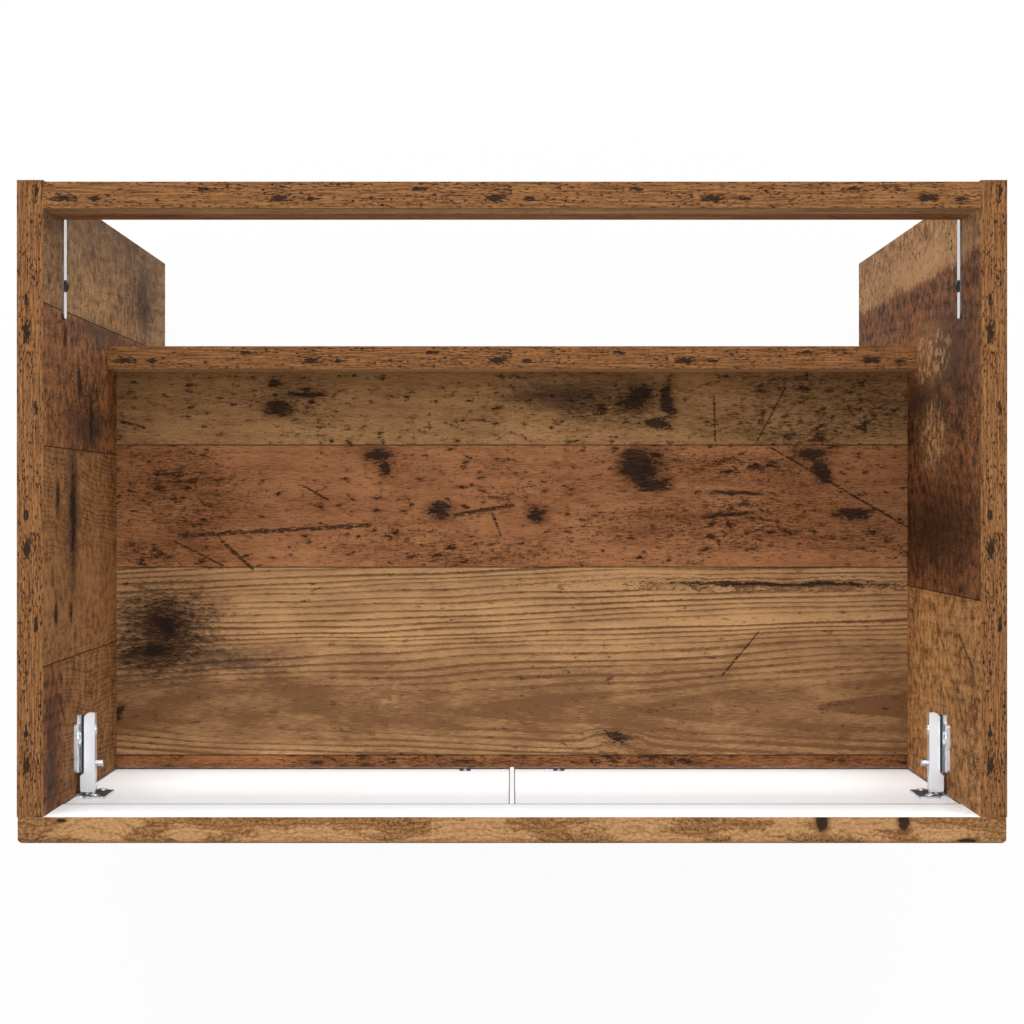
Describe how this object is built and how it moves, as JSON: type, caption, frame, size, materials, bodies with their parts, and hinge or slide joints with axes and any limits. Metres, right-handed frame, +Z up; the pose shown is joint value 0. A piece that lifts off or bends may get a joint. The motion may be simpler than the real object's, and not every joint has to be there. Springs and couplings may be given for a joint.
{
  "type": "bathroom vanity cabinet",
  "caption": "Floor-standing bathroom vanity cabinet, open at the top for a basin, with overlay doors on concealed cup hinges, a shelf, an open back and wall brackets.",
  "frame": {"origin": "under the middle of the whole cabinet, on the floor", "axes": "+Z up, +Y towards the wall, +X to the right seen from the front"},
  "size_m": [0.6, 0.427, 0.8],
  "materials": {
    "carcass_board": "aged plank print on board, satin",
    "front_board": "aged plank print on board, white back, satin",
    "beech": "plain",
    "grey_plastic": "matte",
    "die_cast_zinc": "die cast",
    "zinc_plate": "zinc plated",
    "black_screw": "black",
    "steel_screw": "plain steel",
    "satin_nickel": "satin",
    "bright_nickel": "bright nickel"
  },
  "bodies": {
    "cabinet": {"bottom_panel": "carcass_board", "bracket_screws": "black_screw", "cam_bolts": "zinc_plate", "cam_locks": "die_cast_zinc", "dowels": "beech", "floor_glides": "grey_plastic", "front_fascia": "front_board", "hinge_arm_screws": "bright_nickel", "hinge_plate_screws": "bright_nickel", "hinge_side_adjusters": "bright_nickel", "left_lower_hinge_arm": "bright_nickel", "left_lower_hinge_plate": "bright_nickel", "left_side_panel": "carcass_board", "left_upper_hinge_arm": "bright_nickel", "left_upper_hinge_plate": "bright_nickel", "left_wall_bracket": "zinc_plate", "plinth": "carcass_board", "rear_top_rail": "carcass_board", "right_lower_hinge_arm": "bright_nickel", "right_lower_hinge_plate": "bright_nickel", "right_side_panel": "carcass_board", "right_upper_hinge_arm": "bright_nickel", "right_upper_hinge_plate": "bright_nickel", "right_wall_bracket": "zinc_plate", "shelf": "carcass_board", "shelf_back_rail": "carcass_board"},
    "left_outer_links": {"left_lower_outer_link": "bright_nickel", "left_upper_outer_link": "bright_nickel"},
    "left_inner_links": {"left_lower_inner_link": "bright_nickel", "left_upper_inner_link": "bright_nickel"},
    "left_door": {"left_cup_screws": "bright_nickel", "left_door": "front_board", "left_knob": "satin_nickel", "left_knob_screw": "steel_screw", "left_lower_hinge_cup": "bright_nickel", "left_upper_hinge_cup": "bright_nickel"},
    "right_outer_links": {"right_lower_outer_link": "bright_nickel", "right_upper_outer_link": "bright_nickel"},
    "right_inner_links": {"right_lower_inner_link": "bright_nickel", "right_upper_inner_link": "bright_nickel"},
    "right_door": {"right_cup_screws": "bright_nickel", "right_door": "front_board", "right_knob": "satin_nickel", "right_knob_screw": "steel_screw", "right_lower_hinge_cup": "bright_nickel", "right_upper_hinge_cup": "bright_nickel"}
  },
  "joints": [
    {"name": "left_outer_link_turn", "type": "hinge", "parent": "cabinet", "child": "left_outer_links", "pos_m": [-0.2778, -0.1631, 0.394], "axis": [0, 0, 1], "range_deg": [0, 33.81]},
    {"name": "left_inner_link_turn", "type": "hinge", "parent": "cabinet", "child": "left_inner_links", "pos_m": [-0.2741, -0.1608, 0.394], "axis": [0, 0, 1], "range_deg": [0, 11.81]},
    {"name": "left_door_swing", "type": "hinge", "parent": "left_outer_links", "child": "left_door", "pos_m": [-0.2924, -0.1762, 0.394], "axis": [0, 0, -1], "range_deg": [0, 123.8]},
    {"name": "right_outer_link_turn", "type": "hinge", "parent": "cabinet", "child": "right_outer_links", "pos_m": [0.2778, -0.1631, 0.394], "axis": [0, 0, -1], "range_deg": [0, 33.81]},
    {"name": "right_inner_link_turn", "type": "hinge", "parent": "cabinet", "child": "right_inner_links", "pos_m": [0.2741, -0.1608, 0.394], "axis": [0, 0, -1], "range_deg": [0, 11.81]},
    {"name": "right_door_swing", "type": "hinge", "parent": "right_outer_links", "child": "right_door", "pos_m": [0.2924, -0.1762, 0.394], "axis": [0, 0, 1], "range_deg": [0, 123.8]}
  ],
  "couplings": [
    {"joint": "left_outer_link_turn", "follows": "left_door_swing", "ratio": 0.27302},
    {"joint": "left_inner_link_turn", "follows": "left_door_swing", "ratio": 0.095315},
    {"joint": "right_outer_link_turn", "follows": "right_door_swing", "ratio": 0.27302},
    {"joint": "right_inner_link_turn", "follows": "right_door_swing", "ratio": 0.095315}
  ]
}
